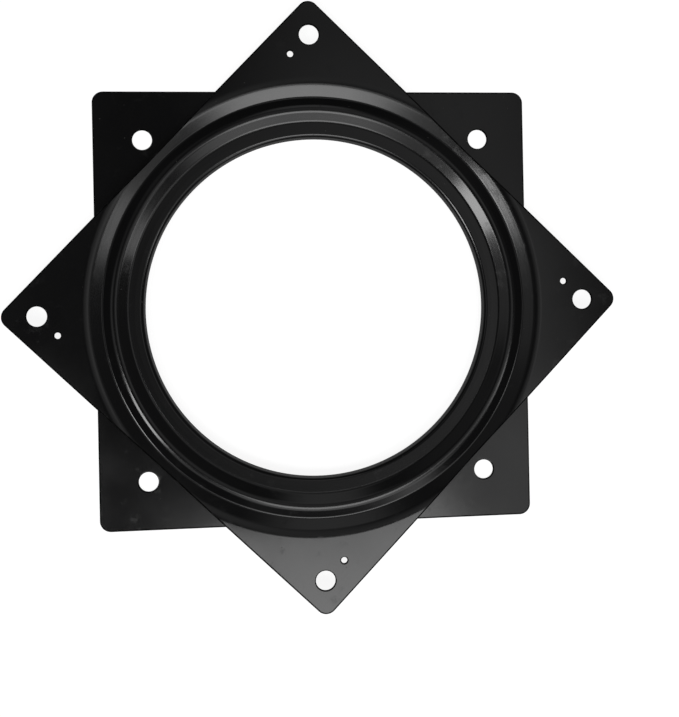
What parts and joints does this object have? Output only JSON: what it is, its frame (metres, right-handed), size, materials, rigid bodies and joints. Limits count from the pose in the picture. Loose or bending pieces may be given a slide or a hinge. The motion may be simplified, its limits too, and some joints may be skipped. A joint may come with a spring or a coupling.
{
  "type": "lazy susan bearing",
  "caption": "Thin turntable bearing: square pressed-steel plates with corner screw holes turn on a caged ball ring around a large round centre hole.",
  "frame": {"origin": "middle of the lower plate's mounting face, on the turning axis", "axes": "+Z along the turning axis, from the lower plate to the upper plate; X and Y along the lower plate's sides"},
  "size_m": [0.2186, 0.2186, 0.008],
  "materials": {
    "black_paint": "satin black paint on pressed sheet steel",
    "black_nylon": "moulded, greasy",
    "bearing_steel": "ground and polished, with a film of grease"
  },
  "bodies": {
    "lower_plate": {"lower_plate": "black_paint"},
    "upper_plate": {"upper_plate": "black_paint"},
    "ball_ring": {"ball_cage": "black_nylon", "steel_balls": "bearing_steel"}
  },
  "joints": [
    {"name": "turntable_spin", "type": "hinge", "parent": "lower_plate", "child": "upper_plate", "pos_m": [0, 0, 0.004], "axis": [0, 0, 1], "continuous": true},
    {"name": "ball_ring_spin", "type": "hinge", "parent": "lower_plate", "child": "ball_ring", "pos_m": [0, 0, 0.004], "axis": [0, 0, 1], "continuous": true}
  ],
  "couplings": [
    {"joint": "ball_ring_spin", "follows": "turntable_spin", "ratio": 0.5}
  ]
}
